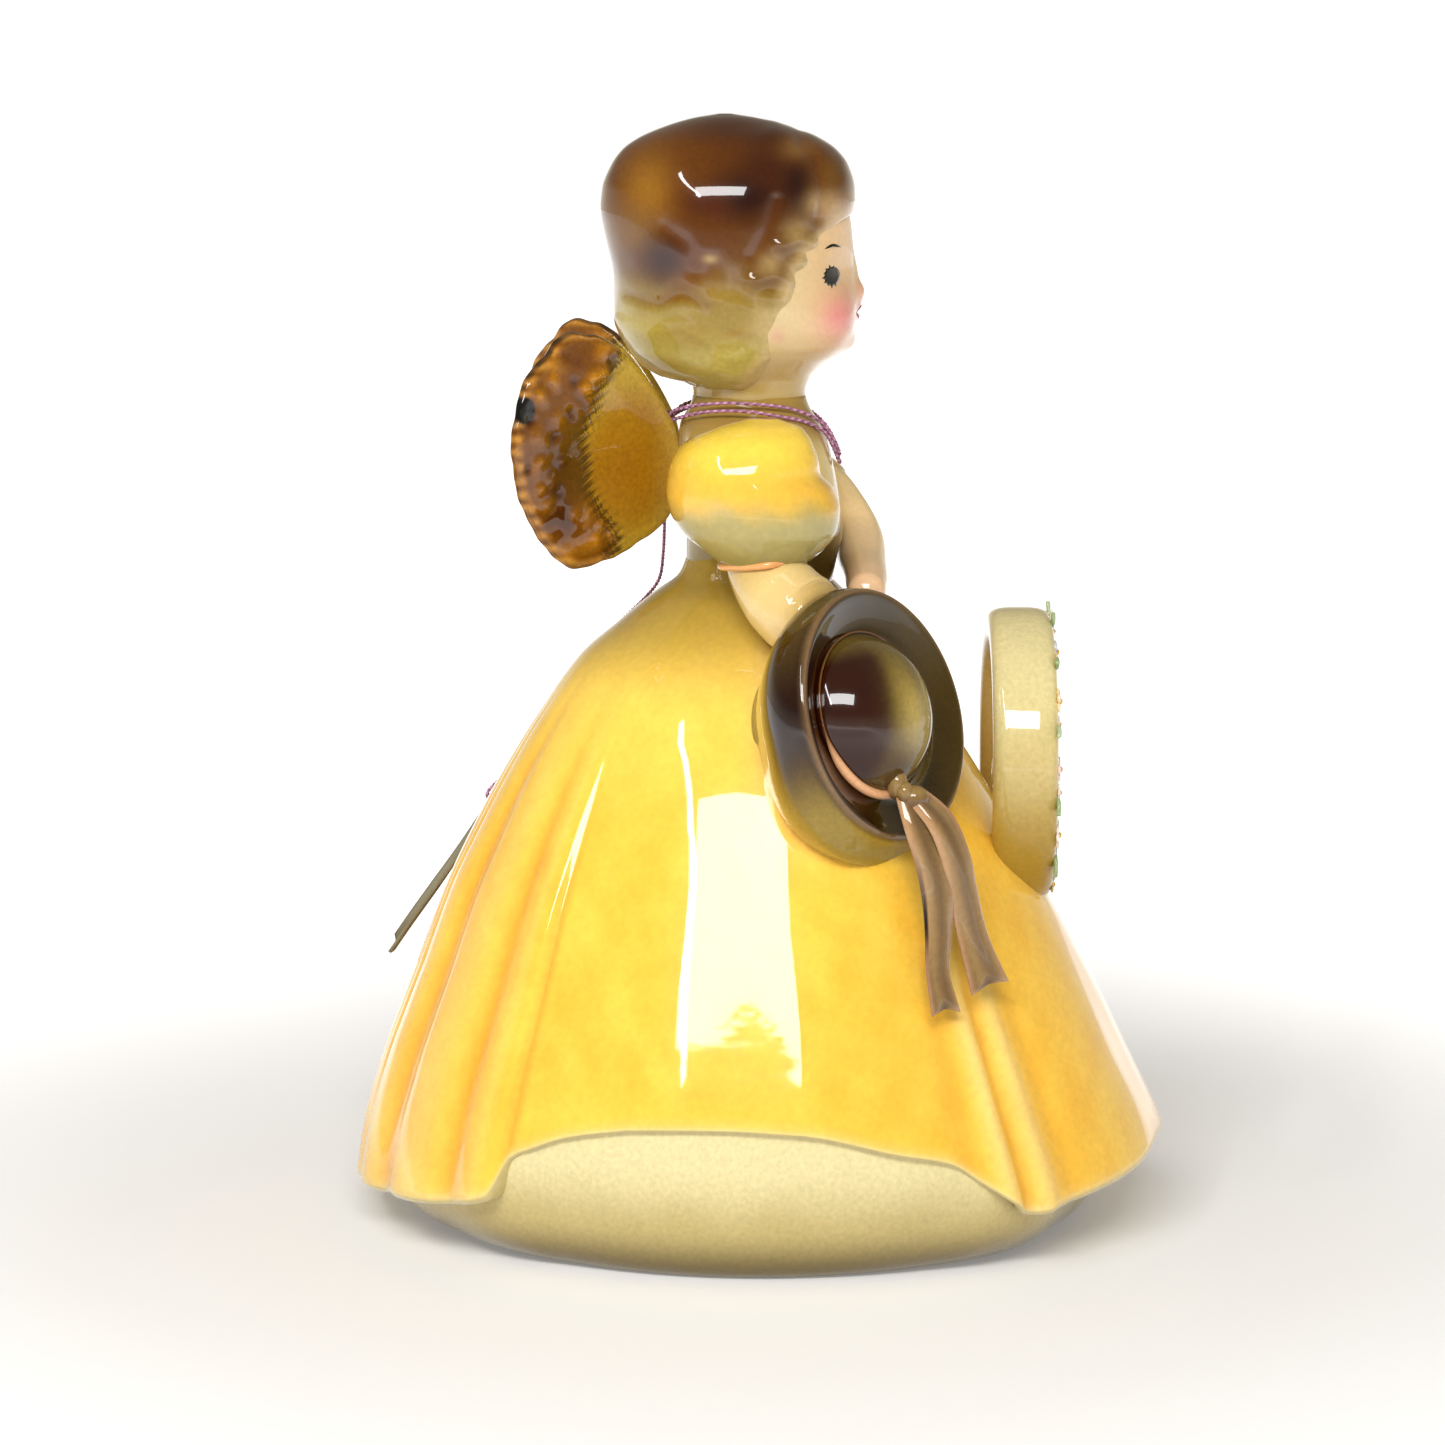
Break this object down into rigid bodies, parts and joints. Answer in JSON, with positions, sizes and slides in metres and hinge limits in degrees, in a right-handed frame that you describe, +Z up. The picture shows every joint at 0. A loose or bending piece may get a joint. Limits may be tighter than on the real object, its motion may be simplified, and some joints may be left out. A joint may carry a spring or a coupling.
{
  "type": "ceramic angel figurine",
  "caption": "Glazed porcelain figurine of a winged girl in a long gown, holding a sun hat, with a flower ring in front and a paper tag on a neck cord.",
  "frame": {"origin": "centre of the foot ring's plane, on the table the figurine stands on", "axes": "+Z up; the figure faces -Y; its left hand is on the +X side"},
  "size_m": [0.0826, 0.093, 0.127],
  "materials": {
    "cream_glaze": "clear gloss glaze over cream slip",
    "yellow_glaze": "airbrushed golden yellow under clear gloss glaze",
    "skin_glaze": "warm ivory under clear gloss glaze, tinted cheeks",
    "hair_glaze": "airbrushed brown and gold under clear gloss glaze",
    "wing_glaze": "amber with a gold-brown relief edge, glossy",
    "hat_glaze": "airbrushed olive brown under clear gloss glaze",
    "ribbon_glaze": "taupe under clear gloss glaze",
    "gilt_line": "painted peach-gold line, glossy",
    "flower_glaze": "small applied flowers, glossy",
    "leaf_glaze": "small applied leaves, glossy",
    "cord": "twisted thread, mauve",
    "tag_paper": "uncoated card, slightly curled"
  },
  "bodies": {
    "figure": {"petticoat_base": "cream_glaze", "skirt": "yellow_glaze", "bodice": "cream_glaze", "head": "skin_glaze", "hair": "hair_glaze", "right_sleeve": "yellow_glaze", "left_sleeve": "yellow_glaze", "right_cuff": "gilt_line", "left_cuff": "gilt_line", "right_arm": "skin_glaze", "left_arm": "skin_glaze", "right_wing": "wing_glaze", "left_wing": "wing_glaze", "hat_brim": "hat_glaze", "hat_crown": "hat_glaze", "hat_band": "gilt_line", "ribbon_knot": "ribbon_glaze", "ribbon_tail_back": "ribbon_glaze", "ribbon_tail_front": "ribbon_glaze", "flower_ring": "cream_glaze", "ring_flowers": "flower_glaze", "ring_leaves": "leaf_glaze", "neck_cord": "cord", "cord_knot": "cord"},
    "tag_line": {"tag_cord": "cord"},
    "tag": {"paper_tag": "tag_paper"}
  },
  "joints": [
    {"name": "tag_cord_swing", "type": "hinge", "parent": "figure", "child": "tag_line", "pos_m": [0.0006, 0.0104, 0.09075], "axis": [1, 0, 0], "range_deg": [0, 60]},
    {"name": "tag_flip", "type": "hinge", "parent": "tag_line", "child": "tag", "pos_m": [0.013, 0.0313, 0.046], "axis": [1, 0, 0], "range_deg": [0, 45]}
  ]
}
